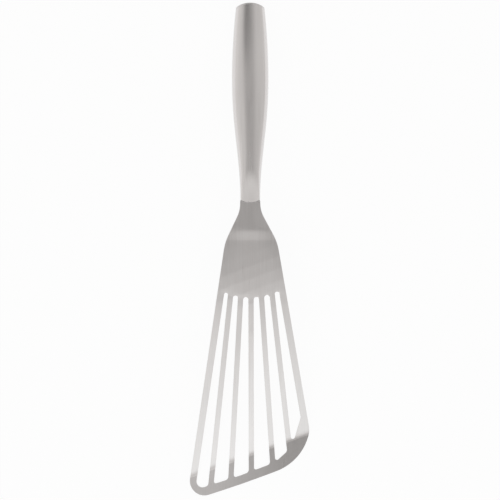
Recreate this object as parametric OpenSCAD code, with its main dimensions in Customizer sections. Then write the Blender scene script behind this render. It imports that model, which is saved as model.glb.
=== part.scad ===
// Fish spatula of brushed stainless steel, lying on a table as it rests.
// X runs across it, +Y points to the butt of the handle and Z is up from the table.
// Y is first counted from the blade's shoulders. seated() then moves the whole part
// so that the origin is under the middle of its length, on the handle's centre line.
// All lengths are millimetres and all angles are degrees.

/* [Sheet] */
// Thickness of the blade's sheet
sheet_t = 1.2; // [0.8:0.1:1.6]

/* [Handle] */
// Length of the shells along the handle, at their sides
handle_len = 129; // [110:0.2:150]
// Width at the butt
butt_w = 19.3; // [16:0.1:22]
// Depth at the butt
butt_d = 13.4; // [11:0.1:16]
// Width at the belly
belly_w = 24.4; // [22:0.1:28]
// Depth at the belly
belly_d = 17.4; // [15:0.1:20]
// Distance from the butt to the belly
belly_at = 47.5; // [40:0.5:60]
// Width at the mouth
mouth_w = 13.1; // [12:0.1:16]
// Depth that the mouth would have without its flats
mouth_d = 12.8; // [9:0.1:14]
// Depth across the two flats at the mouth
flats_d = 6; // [5.6:0.1:7.2]
// Slope of each flat against the handle's centre line
flats_slope = 11.4; // [9:0.2:14]
// Squareness of the grip's section, where 2 is an ellipse
grip_square = 2.35; // [2:0.05:3]
// Squareness of the mouth's section
mouth_square = 2.8; // [2.4:0.1:4]
// Sharpness of the edges between those flats and the round sides
flat_edge = 16; // [8:1:30]
// Wall of the two pressed shells
shell_t = 0.8; // [0.6:0.1:1]
// How far the middle of the mouth stands past its sides
mouth_bow = 1.4; // [0:0.1:3]
// How far the middle of the butt stands past its sides
butt_bow = 2.5; // [0:0.1:4]
// Length over which the bow of either end fades into the grip
bow_run = 14; // [8:1:30]
// How late the grip thins from the belly to the mouth, where 1 is evenly
thinning = 1.08; // [1:0.01:1.3]

/* [Butt cap] */
// Thickness of the cap
cap_t = 1; // [0.8:0.1:1.6]
// Depth of the cap's lip inside the shells
lip_len = 2.5; // [1.5:0.1:5]
// Wall of the lip
lip_t = 0.9; // [0.6:0.1:1.4]

/* [Mouth plug and tang] */
// Length of the plug that closes the mouth
plug_len = 10; // [6:0.5:16]
// Corner radius of the plug
plug_r = 1.2; // [0.6:0.1:1.8]
// Width of the tang
tang_w = 8.4; // [6:0.1:9]
// Length of the tang behind the mouth
tang_len = 24; // [18:0.5:40]
// Clearance between a piece and the piece it seats in
fit_gap = 0.08; // [0.05:0.01:0.12]

/* [Neck] */
// Width of the neck
neck_w = 13.4; // [12:0.1:15]
// Length of the neck's straight sides in front of the mouth
neck_len = 6.7; // [3:0.1:10]
// Length of the sloping sides from the neck to the shoulders
flank_len = 21.2; // [18:0.2:28]
// Radius where the neck turns into its sloping sides
neck_r = 20; // [10:1:30]
// Radius of the shoulders
shoulder_r = 33; // [20:1:45]
// Distance from the shoulders back to the bend at the foot of the handle's line
band_at = 8.6; // [7:0.1:10]
// Length of the short band that steps down to the blade
band_len = 7.2; // [5:0.1:8]
// Slope of that band
band_slope = 3; // [1:0.5:8]
// Radius of the two bends at its ends
band_r = 8; // [4:0.5:12]

/* [Blade outline] */
// Distance from the centre line to the left shoulder
shoulder_left = 16.8; // [14:0.1:20]
// Distance from the centre line to the right shoulder
shoulder_right = 18.1; // [14:0.1:21]
// Angle of the left edge outwards
left_flare = 8.45; // [6:0.05:10]
// Angle of the right edge outwards
right_flare = 9.8; // [8:0.05:12]
// Distance from the shoulders to the corner of the heel before it is rounded
heel_at = 174; // [160:1:185]
// Radius of the heel
heel_r = 9.75; // [8:0.25:12]
// Slant of the front edge beside the heel
front_slant = 17.9; // [15:0.1:20]
// Angle by which the front edge turns towards the toe
front_turn = 2.7; // [1:0.1:5]
// Place of that turn across the blade
front_turn_x = -4.8; // [-10:0.2:5]
// Radius of that turn
front_turn_r = 650; // [300:10:700]
// Distance from the shoulders to where the right edge turns into the toe
toe_at = 126.4; // [115:0.2:132]
// Lean of the toe's outer end against the centre line
toe_lean = 15; // [10:1:20]
// Radius between the right edge and the toe
toe_side_r = 16.2; // [10:0.2:20]
// Radius between the toe and the front edge
toe_front_r = 35; // [25:0.5:38]

/* [Slots] */
// Width of each bar between two slots
bar_w = 3.55; // [3:0.05:4]
// Width of the left and right rails
side_rail = 4.5; // [4:0.1:5.4]
// Width of the front rail
front_rail = 5.75; // [5:0.05:7]
// Width of the rail round the toe, under the fifth slot
toe_rail = 7.4; // [6:0.1:9]
// Width of the rail round the toe, beside the sixth slot
toe_side_rail = 8.5; // [7:0.1:10]
// Radius of the arc on which the slots begin
slot_arc_r = 30; // [27:0.1:40]
// Distance from the shoulders to the centre of that arc, on the centre line
slot_arc_at = 6.7; // [0:0.1:9]
// Distance from the shoulders to the line on which the bars are spaced
root_at = 45.3; // [40:0.1:60]
// Share by which the bars crowd towards the left
bar_crowding = 0.057; // [0:0.001:0.15]
// Lean of each inner bar, as a share of the way from the left edge's lean to the right's
bar_lean = [0.137, 0.294, 0.47, 0.676, 0.817];
// Radius in the sharp corners of the slots
slot_sharp_r = 1.3; // [0.8:0.1:1.6]
// Radius in the blunt corners of the slots
slot_blunt_r = 2.6; // [1.6:0.1:3.2]

/* [Bends] */
// Distance from the shoulders to the tip's bend, on the centre line
bend_at = 141; // [130:0.5:150]
// Slant of the bend across the blade
bend_slant = 20; // [16:0.5:22]
// Angle to which the blade curves down at the bend
curve_angle = 20; // [10:0.5:24]
// Angle at which the tip rises past the bend
tip_rise = 4; // [2:0.5:8]
// Radius of the bend
bend_r = 10; // [5:0.5:16]
// Flat length between the neck's band and the start of the curve
flat_len = 1; // [0.5:0.1:4]

/* [Hidden] */

steel = [0.74, 0.735, 0.725];
// The inner bars and one at each side
bars = len(bar_lean) + 2;
// Helper lines and cutting blocks go well past the blade
reach = 2 * bend_at;
// A hair, for faces that would otherwise coincide and for tests against zero
eps = 0.01;

function unit(a) = [cos(a), sin(a)];
function turned(v, a) = [v.x * cos(a) - v.y * sin(a), v.x * sin(a) + v.y * cos(a)];

// Where the line through p at angle a meets the line through q at angle b
function meet(p, a, q, b) =
    p + unit(a) * (((q.x - p.x) * sin(b) - (q.y - p.y) * cos(b)) / sin(b - a));

// The corner p between a and b, rounded to r with a point for every step degrees
function arc_centre(a, p, b, r) =
    let (u = (a - p) / norm(a - p), v = (b - p) / norm(b - p))
    p + (u + v) / norm(u + v) * r / sin(acos(u * v) / 2);
function half_corner(a, p, b) =
    acos(max(-1, min(1, (a - p) * (b - p) / norm(a - p) / norm(b - p)))) / 2;
function corner(a, p, b, r, step) =
    let (
        u = (a - p) / norm(a - p),
        v = (b - p) / norm(b - p),
        half = half_corner(a, p, b),
        c = p + (u + v) / norm(u + v) * r / sin(half),
        side = u.x * v.y - u.y * v.x > 0 ? -1 : 1,
        n = max(2, ceil((180 - 2 * half) / step))
    )
    [for (k = [0:n]) c + turned(p + u * r / tan(half) - c, side * (180 - 2 * half) * k / n)];

// A polygon with its corners rounded. Where two arcs need more than the side between them,
// both shrink until they meet.
function rounded(pts, radii, step) =
    let (
        n = len(pts),
        before = [for (i = [0:n - 1]) pts[(i + n - 1) % n]],
        after = [for (i = [0:n - 1]) pts[(i + 1) % n]],
        need = [for (i = [0:n - 1])
            radii[i] > 0 ? radii[i] / tan(half_corner(before[i], pts[i], after[i])) : 0],
        share = [for (i = [0:n - 1])
            min(1, (norm(after[i] - pts[i]) - eps) / max(eps, need[i] + need[(i + 1) % n]))]
    )
    [for (i = [0:n - 1])
        each radii[i] > 0
            ? corner(before[i], pts[i], after[i],
                radii[i] * min(share[i], share[(i + n - 1) % n]), step)
            : [pts[i]]];

// What is left of a polygon on the left of the line through q at angle b
function cut_by(pts, q, b) =
    let (n = len(pts), side = [for (p = pts) (p.y - q.y) * cos(b) - (p.x - q.x) * sin(b)])
    [for (i = [0:n - 1])
        let (j = (i + 1) % n, s = side[i], e = side[j])
        each concat(
            s >= 0 ? [pts[i]] : [],
            s * e < 0 ? [pts[i] + (pts[j] - pts[i]) * s / (s - e)] : []
        )];

// A path given as points, thickened to t as a closed polygon
function strip(path, t) =
    let (
        n = len(path),
        normal = [for (i = [0:n - 1])
            let (d = path[min(i + 1, n - 1)] - path[max(i - 1, 0)])
            [-d.y, d.x] / norm(d)]
    )
    concat(
        [for (i = [0:n - 1]) path[i] + normal[i] * t / 2],
        [for (i = [n - 1:-1:0]) path[i] - normal[i] * t / 2]
    );

// Blade outline, from the shoulders
left_edge = -90 - left_flare;
right_edge = -90 + right_flare;
left_shoulder = [-shoulder_left, 0];
right_shoulder = [shoulder_right, 0];
heel = left_shoulder + unit(left_edge) * heel_at / cos(left_flare);
front_mid = meet(heel, front_slant, [front_turn_x, 0], -90);
toe_side = right_shoulder + unit(right_edge) * toe_at / cos(right_flare);
front_toe = front_slant + front_turn;
toe_front = meet(front_mid, front_toe, toe_side, -90 - toe_lean);
toe_centre = arc_centre(front_mid, toe_front, toe_side, toe_front_r);
mouth_y = neck_len + flank_len;

// Slot edges: each bar's centre line has a point on the root line and a lean
rail_root = [
    meet(left_shoulder, left_edge, [0, -root_at], 0).x + side_rail / 2 / cos(left_flare),
    meet(right_shoulder, right_edge, [0, -root_at], 0).x - side_rail / 2 / cos(right_flare)
];
function bar_share(i) = let (f = i / (bars - 1)) f * (1 - bar_crowding) + bar_crowding * f * f;
function bar_root(i) = [rail_root[0] + (rail_root[1] - rail_root[0]) * bar_share(i), -root_at];
function bar_angle(i) =
    i == 0 ? left_edge
    : i == bars - 1 ? right_edge
    : left_edge + (right_edge - left_edge) * bar_lean[i - 1];
function half_bar(i) = (i == 0 || i == bars - 1 ? side_rail : bar_w) / 2;
function bar_side(i, s) = bar_root(i) + unit(bar_angle(i) + 90) * half_bar(i) * s;
slot_centre = [0, -slot_arc_at];
// Directions from the toe's centre in which the rail's inner edge is cut straight
toe_turns = [48, 29, 16];

// A slot is the wedge between two bars, cut by the rails' inner edges
function beside(p, a, d) = p + unit(a + 90) * d;
function toe_cut(pts, a, rail) =
    cut_by(pts, toe_centre + unit(a) * (toe_front_r - rail), a + 90);
function slot_wedge(i) =
    let (
        l = bar_side(i, 1),
        r = bar_side(i + 1, -1),
        la = bar_angle(i),
        ra = bar_angle(i + 1),
        mid = (l + r) / 2,
        top = slot_centre + (mid - slot_centre) / norm(mid - slot_centre) * slot_arc_r,
        top_a = (la + ra) / 2 + 90
    )
    [
        meet(top, top_a, l, la),
        meet([0, -reach], 0, l, la),
        meet([0, -reach], 0, r, ra),
        meet(top, top_a, r, ra)
    ];
function slot_corners(i) =
    let (
        a = cut_by(slot_wedge(i), beside(heel, front_slant, front_rail), front_slant),
        b = cut_by(a, beside(front_mid, front_toe, front_rail), front_toe),
        c = toe_cut(b, -toe_turns[0], toe_rail)
    )
    i < bars - 2
        ? c
        : toe_cut(toe_cut(c, -toe_turns[1], toe_side_rail), -toe_turns[2], toe_side_rail);
// The radius of a corner follows from where it is and how sharp it is
function slot_radius(i, pts, k) =
    let (
        n = len(pts),
        u = pts[(k + n - 1) % n] - pts[k],
        v = pts[(k + 1) % n] - pts[k],
        sharp = u * v > 0
    )
    k == 0 || k == n - 1 ? norm(pts[0] - pts[n - 1]) / 2
    : i == 0 && k == 1 ? heel_r - front_rail
    : sharp ? slot_sharp_r
    : slot_blunt_r;
module slot_shape(i) {
    pts = slot_corners(i);
    polygon(rounded(pts, [for (k = [0:len(pts) - 1]) slot_radius(i, pts, k)], 15));
}

// Heights, from the bend's underside on the table up to the neck
half_bend = (curve_angle + tip_rise) / 2;
curve_run = (bend_at - flat_len) * cos(bend_slant) - shoulder_right * sin(bend_slant);
curve_r = (curve_run - bend_r * tan(half_bend) * cos(curve_angle)) / sin(curve_angle);
bend_z = sheet_t / 2 + bend_r * (1 - cos((curve_angle - tip_rise) / 2) / cos(half_bend));
curve_side = curve_r * tan(curve_angle / 2) + bend_r * tan(half_bend);
plate_z = bend_z + curve_side * sin(curve_angle);
neck_z = plate_z + band_len * tan(band_slope);

// The handle's line runs from the top of the band down to where the butt rests
line_len = mouth_y - band_at + handle_len + butt_bow;
tilt = asin(neck_z / norm([line_len, butt_d / 2])) - atan2(butt_d / 2, line_len);
mouth_at = (mouth_y - band_at) / cos(tilt);
butt_y = band_at + (mouth_at + handle_len + butt_bow + cap_t) * cos(tilt) + butt_d / 2 * sin(tilt);
heel_centre = arc_centre(left_shoulder, heel, front_mid, heel_r);
mid_y = (butt_y + heel_centre.y - heel_r) / 2;

module seated() {
    translate([0, -mid_y, 0]) children();
}
module on_handle() {
    seated() translate([0, band_at, neck_z]) rotate([-tilt, 0, 0])
        translate([0, mouth_at, 0]) children();
}

// Sheet bent about lines at the slant a, where each path point is a place along the blade
module bent_sheet(path, a) {
    rotate([0, 0, a - 90]) rotate([90, 0, 0])
        linear_extrude(height = 2 * reach, center = true) polygon(strip(path, sheet_t));
}

// Blade outline: the neck and tang above the joint line, the plate and bars below it
joint_y = band_at - band_len - flat_len / 2;
tang_y = mouth_y + tang_len * cos(tilt);
// The neck's end follows the mouth's bow on each side of the tang
function neck_end(s) = [
    for (k = [0:4])
        let (x = neck_w / 2 + (tang_w / 2 - neck_w / 2) * k / 4)
        [s * x, mouth_y - 2 * fit_gap - mouth_bow * max(0, 1 - pow(2 * x / mouth_w, 2))]
];
function back_to_front(pts) = [for (k = [len(pts) - 1:-1:0]) pts[k]];
outline_points = [
    [-tang_w / 2, tang_y],
    each back_to_front(neck_end(-1)),
    [-neck_w / 2, flank_len],
    left_shoulder,
    heel,
    front_mid,
    toe_front,
    toe_side,
    right_shoulder,
    [neck_w / 2, flank_len],
    each neck_end(1),
    [tang_w / 2, tang_y]
];
outline_radii = [
    for (k = [0:5]) 0,
    neck_r, shoulder_r, heel_r, front_turn_r, toe_front_r, toe_side_r, shoulder_r, neck_r,
    for (k = [0:5]) 0
];
module blade_outline() {
    difference() {
        polygon(rounded(outline_points, outline_radii, 6));
        for (i = [0:bars - 2]) slot_shape(i);
    }
}

// Paths of the sheet's middle, as places along the blade and heights
tang_back = [-band_at, neck_z] - unit(tilt) * (mouth_at + tang_len + 5);
neck_path = [
    tang_back,
    each corner(tang_back, [-band_at, neck_z], [-band_at + band_len, plate_z], band_r, 2),
    each corner([-band_at, neck_z], [-band_at + band_len, plate_z],
        [reach, plate_z], band_r, 2),
    [-joint_y + eps, plate_z]
];
bend_v = bend_at * cos(bend_slant);
curve_top = [bend_v - curve_side * cos(curve_angle), plate_z];
tip_end = [bend_v, bend_z] + unit(tip_rise) * reach / 4;
blade_path = [
    [-reach / 4, plate_z],
    each corner([-reach, plate_z], curve_top, [bend_v, bend_z], curve_r, 1.25),
    each corner(curve_top, [bend_v, bend_z], tip_end, bend_r, 3),
    tip_end
];

module blade() color(steel) seated() {
    intersection() {
        linear_extrude(height = 3 * plate_z) blade_outline();
        union() {
            intersection() {
                bent_sheet(neck_path, 0);
                translate([-reach / 2, joint_y, -1]) cube([reach, reach, 4 * plate_z]);
            }
            intersection() {
                bent_sheet(blade_path, bend_slant);
                translate([-reach / 2, joint_y - reach, -1]) cube([reach, reach, 4 * plate_z]);
            }
        }
    }
}

// Handle section at a distance u from the butt
function swell(u, butt, belly, mouth) =
    u < belly_at
        ? belly - (belly - butt) * pow((belly_at - u) / belly_at, 2)
        : mouth + (belly - mouth) *
            (1 + cos(180 * pow((u - belly_at) / (handle_len - belly_at), thinning))) / 2;
function half_w(u) = swell(u, butt_w, belly_w, mouth_w) / 2;
function half_d(u) = swell(u, butt_d, belly_d, mouth_d) / 2;
function square(u) = swell(u, grip_square, grip_square, mouth_square);
function flat_at(u) = flats_d / 2 + (handle_len - u) * tan(flats_slope);
function bow(u) =
    u < bow_run ? butt_bow * pow(1 - u / bow_run, 2)
    : u > handle_len - bow_run ? -mouth_bow * pow(1 - (handle_len - u) / bow_run, 2)
    : 0;
function power(v, e) = sign(v) * pow(abs(v), e);
// One point of the section at angle a, drawn in by inset; the flats are blended in
function skin(u, a, inset) =
    let (
        w = half_w(u) - inset,
        d = half_d(u) - inset,
        f = flat_at(u) - inset,
        x = w * power(cos(a), 2 / square(u)),
        z = d * power(sin(a), 2 / square(u)),
        zf = abs(z) < eps ? z : sign(z) / pow(pow(abs(z), -flat_edge) + pow(f, -flat_edge), 1 / flat_edge),
        share = half_w(u) > 0 ? x / half_w(u) : 0
    )
    [x, handle_len - u + bow(u) * (1 - share * share), zf];

// Cap profile from the middle out: the share of the section, and of the cap's thickness
cap_dome = [[0.35, 1], [0.75, 0.99], [0.9, 0.92], [0.96, 0.75], [0.99, 0.5], [1, 0.2]];
// Sections along each shell, and points around one shell's section
stations = 34;
sides = 20;
function station(j) = handle_len * j / stations;

// A half shell: the outer skin out and the inner skin back, closed along the seam
module half_shell() {
    ring = 2 * (sides + 1);
    pts = [
        for (j = [0:stations]) each concat(
            [for (i = [0:sides]) skin(station(j), 180 * i / sides, 0)],
            [for (i = [sides:-1:0]) skin(station(j), 180 * i / sides, shell_t)]
        )
    ];
    walls = [
        for (j = [0:stations - 1]) for (i = [0:ring - 1])
            let (a = j * ring + i, b = j * ring + (i + 1) % ring)
            each [[a, b, b + ring], [a, b + ring, a + ring]]
    ];
    function end_faces(o, flip) = [
        for (i = [0:sides - 1])
            let (a = o + i, b = o + i + 1, c = o + ring - 2 - i, d = o + ring - 1 - i)
            each flip ? [[a, c, b], [a, d, c]] : [[a, b, c], [a, c, d]]
    ];
    polyhedron(pts, concat(walls, end_faces(0, true), end_faces(stations * ring, false)));
}
module handle_top_shell() color(steel) on_handle() half_shell();
module handle_bottom_shell() color(steel) on_handle() mirror([0, 0, 1]) half_shell();

// A ring of the butt's section, drawn in by inset and scaled, y past the shells' end
cap_sides = 40;
function cap_ring(inset, scale, y) = [
    for (i = [0:cap_sides - 1])
        let (p = skin(0, 360 * i / cap_sides, inset))
        [p.x * scale, y + bow(0) * (1 - pow(p.x * scale / half_w(0), 2)), p.z * scale]
];
module butt_cap() color(steel) on_handle() translate([0, handle_len, 0]) {
    lip = shell_t + fit_gap;
    rings = [
        each [for (k = cap_dome) cap_ring(0, k[0], cap_t * k[1])],
        cap_ring(0, 1, 0),
        cap_ring(lip, 1, 0),
        cap_ring(lip, 1, -lip_len),
        cap_ring(lip + lip_t, 1, -lip_len),
        cap_ring(lip + lip_t, 1, 0),
        cap_ring(lip + lip_t, 0.3, 0)
    ];
    last = (len(rings) - 1) * cap_sides;
    polyhedron(
        [for (r = rings) each r],
        concat(
            [for (j = [0:len(rings) - 2]) for (i = [0:cap_sides - 1])
                let (a = j * cap_sides + i, b = j * cap_sides + (i + 1) % cap_sides)
                each [[a, b + cap_sides, b], [a, a + cap_sides, b + cap_sides]]],
            [[for (i = [0:cap_sides - 1]) i]],
            [[for (i = [cap_sides - 1:-1:0]) last + i]]
        )
    );
}

// The plug fills the mouth between the shells, with a slot for the tang
module mouth_plug() color(steel) on_handle() {
    w = mouth_w - 2 * (shell_t + fit_gap);
    h = flats_d - 2 * (shell_t + fit_gap);
    nose_r = (pow(mouth_w / 2, 2) + pow(mouth_bow, 2)) / (2 * max(mouth_bow, eps));
    difference() {
        translate([0, plug_len, 0]) rotate([90, 0, 0])
            linear_extrude(height = plug_len + mouth_bow)
                polygon(rounded([[-w, -h] / 2, [w, -h] / 2, [w, h] / 2, [-w, h] / 2],
                    [for (k = [1:4]) min(plug_r, h / 2 - eps)], 15));
        difference() {
            translate([-w, -mouth_bow - 1, -h]) cube([2 * w, mouth_bow + 1, 2 * h]);
            translate([0, nose_r - mouth_bow, -2 * h]) cylinder(r = nose_r, h = 4 * h, $fn = 96);
        }
        cube([tang_w + 2 * fit_gap, 4 * plug_len, sheet_t + 2 * fit_gap], center = true);
    }
}

blade();
mouth_plug();
handle_top_shell();
handle_bottom_shell();
butt_cap();
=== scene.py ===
# %% [markdown]
# A fish spatula in brushed stainless steel, dressed around its measured model.
# The measured model is the frame: every piece here sits where the frame says, in metres.
# X runs across the spatula, +Y points to the butt of the handle and Z is up from the table.

# %% Load the frame
import math

import bmesh
import bpy
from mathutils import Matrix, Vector


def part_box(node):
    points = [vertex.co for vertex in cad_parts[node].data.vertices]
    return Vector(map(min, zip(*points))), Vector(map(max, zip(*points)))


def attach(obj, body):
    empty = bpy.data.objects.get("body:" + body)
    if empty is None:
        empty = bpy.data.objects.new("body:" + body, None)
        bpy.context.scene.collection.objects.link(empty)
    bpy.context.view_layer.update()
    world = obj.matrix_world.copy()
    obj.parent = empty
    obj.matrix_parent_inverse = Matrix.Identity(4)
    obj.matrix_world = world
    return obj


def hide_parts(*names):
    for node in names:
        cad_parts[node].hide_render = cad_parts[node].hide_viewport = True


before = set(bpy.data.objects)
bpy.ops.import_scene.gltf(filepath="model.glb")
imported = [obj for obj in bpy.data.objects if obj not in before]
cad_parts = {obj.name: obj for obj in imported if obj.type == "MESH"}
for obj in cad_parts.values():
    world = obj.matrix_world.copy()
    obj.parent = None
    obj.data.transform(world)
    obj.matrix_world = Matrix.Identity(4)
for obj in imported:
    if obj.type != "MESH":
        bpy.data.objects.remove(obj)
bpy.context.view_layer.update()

MM = 0.001
BODY = "root"
MERGE = 0.002 * MM
print("nodes:", sorted(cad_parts))

# %% [markdown]
# Every piece starts as a bmesh, Blender's editable mesh. Three small helpers serve them all.
# The frame's nodes are loose triangles, so a copy has its doubles merged before anything else.
# Its sharp edges can then be found by angle and rounded with one bevel, as a file would do it.


# %% Helpers that start a piece
def copy_of(node):
    """A bmesh of a frame node, its doubles merged."""
    bm = bmesh.new()
    bm.from_mesh(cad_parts[node].data)
    bmesh.ops.remove_doubles(bm, verts=bm.verts, dist=MERGE)
    return bm


def edges_sharper(bm, degrees):
    """Edges whose two faces meet at more than this angle."""
    return [e for e in bm.edges if len(e.link_faces) == 2
            and e.calc_face_angle(0) > math.radians(degrees)]


def round_edges(bm, edges, radius, segments=2):
    """Bevels the edges to a round of this radius."""
    bmesh.ops.bevel(bm, geom=edges, offset=radius, offset_type="OFFSET", affect="EDGES",
                    segments=segments, profile=0.5, material=-1, clamp_overlap=True)


print("triangles in the blade's node:", len(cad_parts["blade"].data.polygons))

# %% [markdown]
# A finished piece is an object at the origin, with its place in its mesh. It rides on the one
# body of the spatula, takes one of the steels made below, and stands for some nodes of the frame.
# Smooth shading with sharp edges by angle keeps round parts soft and cut edges crisp.


# %% Helper that finishes a piece
def box_of(piece):
    """The lowest and highest corner of a piece's mesh."""
    co = [v.co for v in piece.data.vertices]
    return (Vector([min(c[i] for c in co) for i in range(3)]),
            Vector([max(c[i] for c in co) for i in range(3)]))


def finish_piece(name, bm, nodes, smooth_angle=35):
    """Turns a bmesh into a piece that stands for some frame nodes."""
    mesh = bpy.data.meshes.new(name)
    bm.to_mesh(mesh)
    bm.free()
    piece = bpy.data.objects.new(name, mesh)
    bpy.context.scene.collection.objects.link(piece)
    mesh.shade_smooth()
    mesh.set_sharp_from_angle(angle=math.radians(smooth_angle))
    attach(piece, BODY)
    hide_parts(*nodes)
    low, high = box_of(piece)
    print(name, len(mesh.polygons), "faces,", [round(v / MM, 1) for v in high - low], "mm")
    return piece


print("body for every piece:", BODY)

# %% [markdown]
# The blade is one sheet of steel, stamped to its outline and slots, then bent. Its frame node is
# already exact, so it is kept, and not drawn a second time. dissolve_limit joins the triangles
# that lie in one plane into large flat faces, which the next steps can measure and cut cleanly.

# %% Blade, a merged copy
FLAT_ANGLE = 0.4
blade_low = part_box("blade")[0]
shell_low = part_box("handle_top_shell")[0]
blade = copy_of("blade")
bmesh.ops.dissolve_limit(blade, angle_limit=math.radians(FLAT_ANGLE), verts=blade.verts,
                         edges=blade.edges, delimit={"NORMAL"})
print("blade:", len(blade.faces), "faces after its flat ones are joined")

# %% [markdown]
# The places to work on are measured in the mesh and not typed in, so they follow the frame if
# its sizes change. First come the round tops of the six slots. Their walls face the tip, and
# walls that lie close together belong to the same slot.

# %% The tops of the slots
FACING_TIP = -0.97
SAME_SLOT = 2 * MM


def slot_tops(bm):
    """The top of each slot, found from the walls of the sheet that face the tip."""
    walls = [f.calc_center_median().xy for f in bm.faces if f.normal.y < FACING_TIP]
    walls = sorted((w for w in walls if w.y > blade_low.y / 2), key=lambda wall: wall.x)
    groups = [[walls[0]]]
    for wall in walls[1:]:
        if wall.x - groups[-1][-1].x > SAME_SLOT:
            groups.append([])
        groups[-1].append(wall)
    return [sum(group, Vector((0, 0))) / len(group) for group in groups]


tops = slot_tops(blade)
print(len(tops), "slots, their tops at", [[round(v / MM, 1) for v in top] for top in tops])

# %% [markdown]
# At the foot of the neck the sheet is bent straight across, in a few narrow facets. An edge of
# such a bend keeps one y from end to end, and the slope of the sheet changes across it. The sum
# of those changes is what a press brake would put in, so place and turn are kept for later.

# %% The bends at the foot of the neck
LEVEL_EDGE = 0.01 * MM
UPPER_FACE = 0.9
LEAST_BEND = 1


def bend_lines(bm):
    """Where the sheet is bent straight across: its y, and how much its slope changes there."""
    lines = {}
    for e in bm.edges:
        a, b = (v.co for v in e.verts)
        faces = sorted(e.link_faces, key=lambda f: f.calc_center_median().y)
        if abs(a.y - b.y) > LEVEL_EDGE or len(faces) < 2 or a.y < 0 or a.y > shell_low.y:
            continue
        if min(f.normal.z for f in faces) < UPPER_FACE:
            continue
        if e.calc_face_angle(0) < math.radians(LEAST_BEND):
            continue
        near, far = (-f.normal.y / f.normal.z for f in faces)
        lines[round(a.y, 5)] = far - near
    return sorted(lines.items())


bends = bend_lines(blade)
neck_foot = bends[-1][0]
print("bends at", [(round(y / MM, 1), round(math.degrees(turn), 1)) for y, turn in bends])

# %% [markdown]
# The front lip is bent back up, so that it slides flat under food. Its faces are the only upper
# ones near the tip that lean towards the butt. The first and last point of them, from left to
# right, give the slanting line where the lip begins. The blade's material needs that line.

# %% The line where the lip begins
LIP_LEAN = 0.05


def lip_line(bm):
    """The two ends, left and right, of the line where the flat lip begins."""
    lip = [f for f in bm.faces if f.normal.z > UPPER_FACE and f.normal.y > LIP_LEAN
           and f.calc_center_median().y < blade_low.y / 2]
    spots = [v.co.copy() for f in lip for e in f.edges for v in e.verts
             if min(side.normal.z for side in e.link_faces) > UPPER_FACE]
    return min(spots, key=lambda co: co.x), max(spots, key=lambda co: co.x)


lip_left, lip_right = lip_line(blade)
print("the lip begins on a line from", [round(v / MM, 1) for v in lip_left],
      "to", [round(v / MM, 1) for v in lip_right])

# %% [markdown]
# Stamping and tumbling leave the rims of the sheet a little rounded. Each rim then catches a
# thin line of light. One bevel on every sharp edge gives that, at about a quarter of the sheet.

# %% Blade, its rims rounded
RIM_ANGLE = 60
RIM_R = 0.28 * MM
round_edges(blade, edges_sharper(blade, RIM_ANGLE), RIM_R)
print("blade after its rims:", len(blade.faces), "faces")

# %% [markdown]
# The neck and plate are not quite flat on the real tool, but a large flat face has no points to
# move. Straight cuts with bisect_plane lay a grid over them, finer beside the bends. A
# subdivision would also do it, but it would cut the bars and rims too, where nothing moves.

# %% Blade, its neck and plate cut into a grid
GRID = 1.6 * MM
GRID_BELOW_TOPS = 6 * MM
GRID_PAST_MOUTH = 2 * MM
GRID_LEFT = -28 * MM
GRID_RIGHT = 30 * MM
BEND_REACH = 2.4 * MM
CUT_SNAP = 0.001 * MM
grid_low = min(top.y for top in tops) - GRID_BELOW_TOPS
grid_high = shell_low.y + GRID_PAST_MOUTH


def cut(bm, faces, place, normal):
    """Cuts only these faces along a plane."""
    edges = list(dict.fromkeys(e for f in faces for e in f.edges))
    verts = list(dict.fromkeys(v for f in faces for v in f.verts))
    bmesh.ops.bisect_plane(bm, geom=verts + edges + faces, dist=CUT_SNAP,
                           plane_co=place, plane_no=normal)


y = grid_low
while y < grid_high:
    cut(blade, blade.faces[:], (0, y, 0), (0, 1, 0))
    beside_bend = min(abs(y - at) for at, turn in bends) < BEND_REACH + GRID
    y += GRID / 3 if beside_bend else GRID
x = GRID_LEFT
while x < GRID_RIGHT:
    band = [f for f in blade.faces if grid_low < f.calc_center_median().y < grid_high]
    cut(blade, band, (x, 0, 0), (1, 0, 0))
    x += GRID
print("blade after its grid:", len(blade.faces), "faces")

# %% [markdown]
# Three small changes of height follow, all under a millimetre. The sheet rolls down where the
# punch entered each slot. Neck and plate are crowned, higher in the middle than at their sides,
# as bending the neck tends to leave them. The crown fades towards the mouth of the handle and
# towards the slots. The two bends are rounded, not sharp. A sculpting brush could do all three,
# but small functions can be measured and repeated.

# %% Blade, how far its points move
SLOT_ROUND = 1.6 * MM
ROLL_DEPTH = 0.07 * MM
ROLL_REACH = 1.8 * MM
CROWN = 0.5 * MM
MOST_CROWN = 1.3
NECK_HALF = 9.5 * MM
PLATE_HALF = 19 * MM
PLATE_FULL = -5 * MM
WIDENING = 25 * MM
MOUTH_FADE = 5 * MM
CROWN_END = -22 * MM
mouth_y = shell_low.y
slot_ends = [top - Vector((0, SLOT_ROUND)) for top in tops]


def falloff(t):
    """1 at t = 0, easing to 0 at t = 1 and past it."""
    t = min(max(t, 0), 1)
    return 1 - t * t * (3 - 2 * t)


def roll_down(co):
    """How far the sheet rolls down beside the round end of a slot."""
    near = min((co.xy - end).length for end in slot_ends)
    return ROLL_DEPTH * falloff((near - SLOT_ROUND) / ROLL_REACH)


def crown_down(co):
    """How far the sheet lies below its middle, across the neck and the plate."""
    half = NECK_HALF + (PLATE_HALF - NECK_HALF) * falloff((co.y - PLATE_FULL) / WIDENING)
    along = falloff((co.y - mouth_y + MOUTH_FADE) / MOUTH_FADE)
    along *= falloff((neck_foot - co.y) / (neck_foot - CROWN_END))
    return CROWN * along * min((co.x / half)**2, MOST_CROWN)


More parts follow.
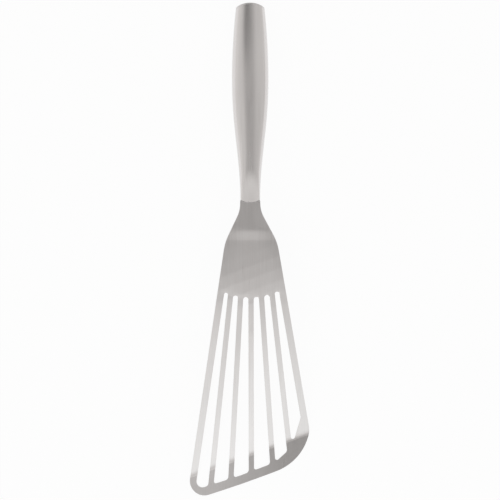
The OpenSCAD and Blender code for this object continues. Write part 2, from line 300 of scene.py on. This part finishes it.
def bend_up(co):
    """How far a rounded bend stands off the sharp one."""
    rise = 0
    for at, turn in bends:
        short = max(BEND_REACH - abs(co.y - at), 0)
        rise += turn * short**2 / (4 * BEND_REACH)
    return rise


side_of_plate = Vector((PLATE_HALF, PLATE_FULL, 0))
print("crown at the side of the plate:", round(crown_down(side_of_plate) / MM, 2), "mm")

# %% [markdown]
# The moved sheet becomes the blade piece. Its narrow bevels would otherwise bend the shading of
# the wide faces beside them, so a Weighted Normal modifier lets the wide faces rule.

# %% Blade, moved and finished
for v in blade.verts:
    if v.co.y >= grid_low:
        v.co.z += bend_up(v.co) - crown_down(v.co) - roll_down(v.co)
blade_piece = finish_piece("spatula_blade", blade, ["blade"])
keep_flat = blade_piece.modifiers.new("flat faces shade flat", "WEIGHTED_NORMAL")
keep_flat.keep_sharp = True

# %% [markdown]
# The handle is two deep pressings welded along their sides and ground flush. A pressing has
# long, soft curves, which a subdivision surface gives: the frame's triangles are joined into
# quads, the rims are creased so that they stay crisp, and the modifier rounds the rest. A spin
# could not do it, because the section goes from a wide oval to a narrow one with two flats.

# %% Handle shells
QUAD_ANGLE = 40
QUAD_SHAPE = 60
CREASE_ANGLE = 50
SOFT_LEVELS = 2


def pressing(name, node):
    """One half of the handle, smoothed between its creased rims."""
    bm = copy_of(node)
    bmesh.ops.join_triangles(bm, faces=bm.faces, angle_face_threshold=math.radians(QUAD_ANGLE),
                             angle_shape_threshold=math.radians(QUAD_SHAPE))
    crease = bm.edges.layers.float.new("crease_edge")
    for e in edges_sharper(bm, CREASE_ANGLE):
        e[crease] = 1.0
    piece = finish_piece(name, bm, [node], smooth_angle=CREASE_ANGLE)
    soft = piece.modifiers.new("soft curves", "SUBSURF")
    soft.levels = SOFT_LEVELS
    soft.render_levels = SOFT_LEVELS
    return piece


top_shell = pressing("handle_top", "handle_top_shell")
bottom_shell = pressing("handle_bottom", "handle_bottom_shell")

# %% [markdown]
# The cap closes the butt. It is a thin domed plate with a lip that sits inside the shells. Its
# merged copy already has that form, so it only gets smooth shading over the dome and crisp rims.

# %% Butt cap
SMALL_ANGLE = 0.5
cap = copy_of("butt_cap")
bmesh.ops.dissolve_limit(cap, angle_limit=math.radians(SMALL_ANGLE), verts=cap.verts,
                         edges=cap.edges)
cap_piece = finish_piece("butt_cap_plate", cap, ["butt_cap"], smooth_angle=45)

# %% [markdown]
# The plug fills the mouth of the handle around the blade's tang. Little more than its front
# shows. A tiny bevel takes the knife edge off it, as a machined part would have.

# %% Mouth plug
PLUG_ANGLE = 70
PLUG_EDGE = 0.1 * MM
plug = copy_of("mouth_plug")
bmesh.ops.dissolve_limit(plug, angle_limit=math.radians(SMALL_ANGLE), verts=plug.verts,
                         edges=plug.edges)
round_edges(plug, edges_sharper(plug, PLUG_ANGLE), PLUG_EDGE)
plug_piece = finish_piece("mouth_plug_block", plug, ["mouth_plug"])

# %% [markdown]
# The finishes are node trees. Four helpers keep them short: a link, a math node, a noise, and a
# vector that is stretched by a Mapping node.


# %% Helpers for node trees
def link(tree, a, b):
    """Joins two sockets."""
    tree.links.new(a, b)


def math_node(tree, operation, a, b=None):
    """A math node on sockets or plain numbers."""
    node = tree.nodes.new("ShaderNodeMath")
    node.operation = operation
    for k, v in enumerate((a, b)):
        if v is None:
            continue
        if isinstance(v, (int, float)):
            node.inputs[k].default_value = v
        else:
            link(tree, v, node.inputs[k])
    return node.outputs[0]


def noise(tree, vector, scale, detail):
    """A noise value over a vector."""
    node = tree.nodes.new("ShaderNodeTexNoise")
    node.inputs["Scale"].default_value = scale
    node.inputs["Detail"].default_value = detail
    link(tree, vector, node.inputs["Vector"])
    return node.outputs["Fac"]


def stretched(tree, vector, scale):
    """A vector whose axes are scaled, so that a noise on it comes out long and thin."""
    node = tree.nodes.new("ShaderNodeMapping")
    node.inputs["Scale"].default_value = scale
    link(tree, vector, node.inputs["Vector"])
    return node.outputs["Vector"]


print("helpers for node trees are ready")

# %% [markdown]
# Brushed steel is bare metal with fine scratches that all run one way. Seen closely they are
# lines of light and dark, and from further off they leave long faint streaks and clouds. A node
# group holds this grain, because blade, shells, cap and plug all have it at their own strength.
# It puts out values only: a tint, a roughness and a height. The shader stays in each material.

# %% Brushed grain, as a node group
FINE_SCALE = 4200
FINE_STRETCH = (1, 0.012, 0.02)
STREAK_SCALE = 900
STREAK_STRETCH = (1, 0.03, 0.05)
CLOUD_SCALE = 60
CLOUD_STRETCH = (1, 0.45, 0.5)
ROUGH_SHARE = 0.16
MIDDLE = 0.5


def make_grain():
    """The group: Vector and three strengths in, Tint, Roughness and Height out."""
    group = bpy.data.node_groups.new("brushed grain", "ShaderNodeTree")
    sockets = group.interface
    sockets.new_socket("Vector", in_out="INPUT", socket_type="NodeSocketVector")
    for label, value in (("Scratches", 0.5), ("Streaks", 0.5), ("Roughness", 0.3)):
        socket = sockets.new_socket(label, in_out="INPUT", socket_type="NodeSocketFloat")
        socket.default_value = value
    for label in ("Tint", "Roughness", "Height"):
        sockets.new_socket(label, in_out="OUTPUT", socket_type="NodeSocketFloat")
    given = group.nodes.new("NodeGroupInput").outputs
    out = group.nodes.new("NodeGroupOutput").inputs
    fine = noise(group, stretched(group, given["Vector"], FINE_STRETCH), FINE_SCALE, 2)
    streak = noise(group, stretched(group, given["Vector"], STREAK_STRETCH), STREAK_SCALE, 3)
    cloud = noise(group, stretched(group, given["Vector"], CLOUD_STRETCH), CLOUD_SCALE, 2)
    fine = math_node(group, "SUBTRACT", fine, MIDDLE)
    fine = math_node(group, "MULTIPLY", fine, given["Scratches"])
    broad = math_node(group, "ADD", math_node(group, "SUBTRACT", streak, MIDDLE),
                      math_node(group, "SUBTRACT", cloud, MIDDLE))
    broad = math_node(group, "MULTIPLY", broad, given["Streaks"])
    both = math_node(group, "ADD", fine, broad)
    link(group, math_node(group, "ADD", both, MIDDLE), out["Tint"])
    rough = math_node(group, "MULTIPLY", both, ROUGH_SHARE)
    link(group, math_node(group, "ADD", given["Roughness"], rough), out["Roughness"])
    link(group, both, out["Height"])
    return group


grain = make_grain()
print("grain group:", [s.name for s in grain.interface.items_tree])

# %% [markdown]
# Each steel places the group with its own values. The tint moves the colour between two close
# steel tones, a little warm, and the height goes through a Bump node. Object coordinates keep
# the grain fixed to the piece, running along Y as the real brushing does. The anisotropy is the
# same all over, so it is set on the shader itself.

# %% Steel, a material maker
STEEL_DARK = (0.565, 0.54, 0.53)
STEEL_LIGHT = (0.725, 0.705, 0.7)
BRUSHED_SHARE = 0.35
SCRATCH_DEPTH = 0.02 * MM


def steel(name, scratches, streaks, roughness, bump, tone=1.0, tones=None):
    """A brushed steel. tone lightens its colour, and tones may change it from place to place."""
    material = bpy.data.materials.new(name)
    material.use_nodes = True
    tree = material.node_tree
    shader = tree.nodes["Principled BSDF"]
    shader.inputs["Metallic"].default_value = 1.0
    shader.inputs["Anisotropic"].default_value = BRUSHED_SHARE
    place = tree.nodes.new("ShaderNodeTexCoord")
    brushed = tree.nodes.new("ShaderNodeGroup")
    brushed.node_tree = grain
    brushed.inputs["Scratches"].default_value = scratches
    brushed.inputs["Streaks"].default_value = streaks
    brushed.inputs["Roughness"].default_value = roughness
    link(tree, place.outputs["Object"], brushed.inputs["Vector"])
    colour = tree.nodes.new("ShaderNodeMix")
    colour.data_type = "RGBA"
    colour.inputs["A"].default_value = [c * tone for c in STEEL_DARK] + [1]
    colour.inputs["B"].default_value = [c * tone for c in STEEL_LIGHT] + [1]
    link(tree, brushed.outputs["Tint"], colour.inputs["Factor"])
    result = colour.outputs["Result"]
    if tones:
        result = tones(tree, place.outputs, result)
    link(tree, result, shader.inputs["Base Color"])
    link(tree, brushed.outputs["Roughness"], shader.inputs["Roughness"])
    relief = tree.nodes.new("ShaderNodeBump")
    relief.inputs["Strength"].default_value = bump
    relief.inputs["Distance"].default_value = SCRATCH_DEPTH
    link(tree, brushed.outputs["Height"], relief.inputs["Height"])
    link(tree, relief.outputs["Normal"], shader.inputs["Normal"])
    return material


print("steel tones from", STEEL_DARK, "to", STEEL_LIGHT)

# %% [markdown]
# Two places on the blade are darker than the rest: the bent-up lip, by a painted shade, and the
# rims, by the dull shear of the punch and a painted shade where they face sideways. The lip starts
# at the line measured above, so the dot product of a point with the direction across that line
# tells the two sides apart. A rim is where the surface faces neither up nor down. Both masks
# multiply the steel's colour by a grey tone.

# %% Darker lip and rims
# The lip's grey is painted shade. The rims' grey is the dull shear of the punch together with
# painted shade on walls that face sideways.
LIP_PAINTED_SHADE = (0.8, 0.8, 0.8, 1)
LIP_EDGE = 0.4 * MM
RIM_SHEAR_AND_SHADE = (0.48, 0.48, 0.48, 1)
RIM_STARTS = 0.93
RIM_FULL = 0.6


def darken(tree, mask, colour, tone):
    """The colour, multiplied by a tone where the mask is 1."""
    mix = tree.nodes.new("ShaderNodeMix")
    mix.data_type = "RGBA"
    mix.blend_type = "MULTIPLY"
    mix.inputs["B"].default_value = tone
    link(tree, mask, mix.inputs["Factor"])
    link(tree, colour, mix.inputs["A"])
    return mix.outputs["Result"]


def mask_between(tree, value, start, end):
    """A mask that goes from 0 at start to 1 at end."""
    mask = tree.nodes.new("ShaderNodeMapRange")
    mask.inputs["From Min"].default_value = start
    mask.inputs["From Max"].default_value = end
    link(tree, value, mask.inputs["Value"])
    return mask.outputs["Result"]


def blade_shear_and_painted_shade(tree, place, colour):
    """Darkens the lip with painted shade, and the sheared rims with their dull shear and painted
    shade.
    """
    along = (lip_right - lip_left).xy.normalized()
    ahead = Vector((along.y, -along.x, 0))
    dot = tree.nodes.new("ShaderNodeVectorMath")
    dot.operation = "DOT_PRODUCT"
    dot.inputs[1].default_value = ahead
    link(tree, place["Object"], dot.inputs[0])
    start = ahead.dot(lip_left)
    # Painted shade over the lip, past its line.
    lip = mask_between(tree, dot.outputs["Value"], start, start + LIP_EDGE)
    facing = tree.nodes.new("ShaderNodeSeparateXYZ")
    link(tree, place["Normal"], facing.inputs[0])
    # Painted shade, with the dull shear, on the side walls of the sheet.
    level = math_node(tree, "ABSOLUTE", facing.outputs["Z"])
    rim = mask_between(tree, level, RIM_STARTS, RIM_FULL)
    return darken(tree, rim, darken(tree, lip, colour, LIP_PAINTED_SHADE), RIM_SHEAR_AND_SHADE)


print("lip tone", LIP_PAINTED_SHADE[0], "and rim tone", RIM_SHEAR_AND_SHADE[0])

# %% [markdown]
# The blade is brushed coarsely. The handle is satin, finer and a little lighter. The cap and the
# plug are duller, because nobody polishes them. Each piece takes one of these four steels.

# %% The four steels, and who wears them
blade_steel = steel("brushed blade steel", scratches=0.5, streaks=0.35, roughness=0.3,
                    bump=0.22, tones=blade_shear_and_painted_shade)
handle_steel = steel("satin handle steel", scratches=0.35, streaks=0.3, roughness=0.25,
                     bump=0.2, tone=1.12)
cap_steel = steel("satin cap steel", scratches=0.5, streaks=0.3, roughness=0.34, bump=0.3)
plug_steel = steel("dull plug steel", scratches=0.5, streaks=0.3, roughness=0.4, bump=0.3)
for piece, finish in ((blade_piece, blade_steel), (top_shell, handle_steel),
                      (bottom_shell, handle_steel), (cap_piece, cap_steel),
                      (plug_piece, plug_steel)):
    piece.data.materials.clear()
    piece.data.materials.append(finish)
    print(piece.name, "wears", finish.name)

# %% [markdown]
# Bare metal shows its surroundings, so the surroundings are part of the picture. A photograph of
# a studio could serve, but this world is worked out from the direction alone, which needs no
# image and can be tuned light by light. wx is how far a direction points to the right, and wy
# how far it points to the butt. Four helpers add, multiply, and shape soft patches and slopes.

# %% World, its directions and helpers
world = bpy.data.worlds.new("studio")
bpy.context.scene.world = world
world.use_nodes = True
room = world.node_tree
way = room.nodes.new("ShaderNodeTexCoord").outputs["Generated"]
split = room.nodes.new("ShaderNodeSeparateXYZ")
link(room, way, split.inputs[0])
wx, wy = split.outputs["X"], split.outputs["Y"]


def times(a, b):
    """a multiplied by b."""
    return math_node(room, "MULTIPLY", a, b)


def plus(a, b):
    """a and b added."""
    return math_node(room, "ADD", a, b)


def bell(value, centre, width):
    """1 at the centre, falling off smoothly by width."""
    off = times(math_node(room, "SUBTRACT", value, centre), 1 / width)
    return math_node(room, "EXPONENT", times(times(off, off), -1.0))


def ramp(value, start, end, low, high):
    """Eases from low at start to high at end, and stays level outside."""
    node = room.nodes.new("ShaderNodeMapRange")
    node.interpolation_type = "SMOOTHSTEP"
    for label, given in (("From Min", start), ("From Max", end), ("To Min", low), ("To Max", high)):
        node.inputs[label].default_value = given
    link(room, value, node.inputs["Value"])
    return node.outputs["Result"]


across = math_node(room, "ABSOLUTE", plus(wx, 0.04))
print("world starts with", len(room.nodes), "nodes")

# %% [markdown]
# The room is plain, at half white. It grows lighter in front of the tip, where the bars face,
# with one bright strip low down, and falls off again near the floor. This front light is kept
# narrow, so that it doesn't wash out the metal when it is seen from the sides.

# %% World, the light in front
FRONT_STRIP = 0.4
front = ramp(wy, start=0.04, end=-0.36, low=0.0, high=0.44)
front = plus(front, times(bell(wy, centre=-0.66, width=0.09), FRONT_STRIP))
front = times(front, ramp(across, start=0.35, end=0.75, low=1.0, high=0.15))
level = plus(front, ramp(wy, start=-0.72, end=-0.9, low=0.54, high=0.2))
print("with the front light:", len(room.nodes), "nodes")

# %% [markdown]
# White walls stand left and right. They are what the round flanks of the handle mirror, so they
# make its edges pale. Towards the front they count for less, and the left is a touch lighter.

# %% World, the side walls
WALL_START = -0.06
WALL_SLOPE = 0.39
LEFT_LEAN = -0.07
side = math_node(room, "MAXIMUM", times(plus(across, WALL_START), WALL_SLOPE), 0.0)
side = times(side, ramp(wy, start=-0.25, end=-0.6, low=1.0, high=0.4))
level = plus(level, plus(side, times(wx, LEFT_LEAN)))
print("with the side walls:", len(room.nodes), "nodes")

# %% [markdown]
# Behind the middle the room is dimmer, where the camera and its arm would hang. The neck and the
# ridge of the handle face that way. One band lies just behind the middle, one further down, and
# a small spot darkens the middle of the neck.

# %% World, the dim bands behind
OVERHEAD_DIM = -0.22
LOW_DIM = -0.28
NECK_DIM = -0.035
level = plus(level, times(bell(wy, centre=0.11, width=0.09), OVERHEAD_DIM))
level = plus(level, ramp(wy, start=0.22, end=0.4, low=0.0, high=-0.08))
level = plus(level, times(bell(wy, centre=0.6, width=0.1), LOW_DIM))
neck_spot = times(bell(wx, centre=0.0, width=0.12), bell(wy, centre=0.22, width=0.035))
level = plus(level, times(neck_spot, NECK_DIM))
print("with the dim bands:", len(room.nodes), "nodes")

# %% [markdown]
# Two soft patches and a dark strip draw the long streaks of the handle. A pale patch on the right
# runs to the butt. One on the left stops before it. The dark strip left of the middle takes
# over as that patch ends, and gives the deep streak at the butt.

# %% World, the streaks of the handle
LEFT_GLOW = 0.21
STRIP_DIM = -0.8
LEAST_LIGHT = 0.03
right_glow = ramp(wy, start=0.1, end=0.34, low=0.03, high=0.15)
level = plus(level, times(bell(wx, centre=0.35, width=0.25), right_glow))
left_glow = times(ramp(wy, start=0.0, end=0.14, low=0.45, high=1.0),
                  ramp(wy, start=0.28, end=0.35, low=1.0, high=0.0))
left_glow = times(bell(wx, centre=-0.37, width=0.22), left_glow)
level = plus(level, times(left_glow, LEFT_GLOW))
dim_strip = times(bell(wx, centre=-0.21, width=0.2),
                  ramp(wy, start=0.22, end=0.4, low=0.0, high=STRIP_DIM))
level = times(level, plus(1.0, dim_strip))
level = math_node(room, "MAXIMUM", level, LEAST_LIGHT)
print("with the streaks:", len(room.nodes), "nodes")

# %% [markdown]
# The room is slightly warm behind and overhead and slightly cool in front, which is why bars and
# handle differ in colour. The camera doesn't see this room but plain white, through Light Path.

# %% World, its colour and the white behind
WARM = (1, 0.985, 0.97, 1)
COOL = (0.98, 1, 1, 1)
WHITE = (1, 1, 1, 1)
sky = room.nodes["Background"]
link(room, level, sky.inputs["Strength"])
tint = room.nodes.new("ShaderNodeMix")
tint.data_type = "RGBA"
tint.inputs["A"].default_value = WARM
tint.inputs["B"].default_value = COOL
link(room, ramp(wy, start=-0.1, end=-0.5, low=0.0, high=1.0), tint.inputs["Factor"])
link(room, tint.outputs["Result"], sky.inputs["Color"])
white = room.nodes.new("ShaderNodeBackground")
white.inputs["Color"].default_value = WHITE
either = room.nodes.new("ShaderNodeMixShader")
seen = room.nodes.new("ShaderNodeLightPath")
link(room, seen.outputs["Is Camera Ray"], either.inputs[0])
link(room, sky.outputs[0], either.inputs[1])
link(room, white.outputs[0], either.inputs[2])
link(room, either.outputs[0], room.nodes["World Output"].inputs["Surface"])
print("world done:", len(room.nodes), "nodes")

# %% [markdown]
# The floor is one wide sheet of paper, made as a one-face grid. It is stage and not part of the
# spatula.

# %% Floor, its sheet
FLOOR_SIZE = 6.0
floor_bm = bmesh.new()
bmesh.ops.create_grid(floor_bm, x_segments=1, y_segments=1, size=FLOOR_SIZE / 2)
floor_mesh = bpy.data.meshes.new("floor")
floor_bm.to_mesh(floor_mesh)
floor_bm.free()
floor = bpy.data.objects.new("floor", floor_mesh)
bpy.context.scene.collection.objects.link(floor)
print("floor:", FLOOR_SIZE, "m wide")

# %% [markdown]
# For the camera and for mirror rays most of the paper's colour is plain white light, so the page
# is white and the metal mirrors white. The rest is a diffuse surface, which keeps a soft shadow
# under the spatula. To all other light the paper is only diffuse.

# %% Floor, white paper
PLAIN_WHITE = 0.94
PAPER = (0.9, 0.9, 0.9, 1)
PAPER_ROUGHNESS = 0.9
paper = bpy.data.materials.new("white paper")
paper.use_nodes = True
sheet = paper.node_tree
diffuse = sheet.nodes["Principled BSDF"]
diffuse.inputs["Base Color"].default_value = PAPER
diffuse.inputs["Roughness"].default_value = PAPER_ROUGHNESS
glow = sheet.nodes.new("ShaderNodeEmission")
blend = sheet.nodes.new("ShaderNodeMixShader")
path = sheet.nodes.new("ShaderNodeLightPath")
ray = math_node(sheet, "MAXIMUM", path.outputs["Is Camera Ray"], path.outputs["Is Glossy Ray"])
link(sheet, math_node(sheet, "MULTIPLY", ray, PLAIN_WHITE), blend.inputs[0])
link(sheet, diffuse.outputs[0], blend.inputs[1])
link(sheet, glow.outputs[0], blend.inputs[2])
link(sheet, blend.outputs[0], sheet.nodes["Material Output"].inputs["Surface"])
floor_mesh.materials.append(paper)
print("paper is", PLAIN_WHITE, "plain white")

# %% [markdown]
# Two area lamps add what the room alone can't. A large softbox high in front of the tip lifts
# the faces that look forward. A very small lamp close above the heel lightens the lip there,
# which in the photograph is paler at the heel than at the toe.


# %% Lamps
def add_lamp(name, place, aim, size, energy):
    """A square area lamp at a place, turned to what it aims at."""
    data = bpy.data.lights.new(name, "AREA")
    data.size = size
    data.energy = energy
    lamp = bpy.data.objects.new(name, data)
    lamp.location = place
    lamp.rotation_euler = (Vector(aim) - lamp.location).to_track_quat("-Z", "Y").to_euler()
    lamp.visible_camera = False
    bpy.context.scene.collection.objects.link(lamp)
    print(name, "at", place)


add_lamp("softbox", place=(-0.5, -1.2, 1.5), aim=(0, 0, 0), size=1.0, energy=2.5)
add_lamp("heel lamp", place=(-0.055, -0.125, 0.25), aim=(-0.035, -0.16, 0), size=0.05,
         energy=0.011)

# %% [markdown]
# The photograph looks straight down. A long lens from three metres keeps the outline flat.
# One pixel of its 500 is 0.6675 mm on the object, and the origin lies near its middle pixel.

# %% Camera
PIXEL = 0.6675 * MM
FRAME_PX = 500
CENTRE_PX = (250.2, 249.3)
DISTANCE = 3.0
LOOK_HEIGHT = 0.015
SENSOR = 36
FAR_END = 20
camera_data = bpy.data.cameras.new("camera")
camera_data.sensor_width = SENSOR
camera_data.lens = SENSOR * DISTANCE / (PIXEL * FRAME_PX)
camera_data.clip_end = FAR_END
camera = bpy.data.objects.new("camera", camera_data)
camera.location = ((FRAME_PX / 2 - CENTRE_PX[0]) * PIXEL, (CENTRE_PX[1] - FRAME_PX / 2) * PIXEL,
                   DISTANCE + LOOK_HEIGHT)
bpy.context.scene.collection.objects.link(camera)
bpy.context.scene.camera = camera
bpy.context.scene.view_settings.view_transform = "Standard"
print("lens:", round(camera_data.lens), "mm")
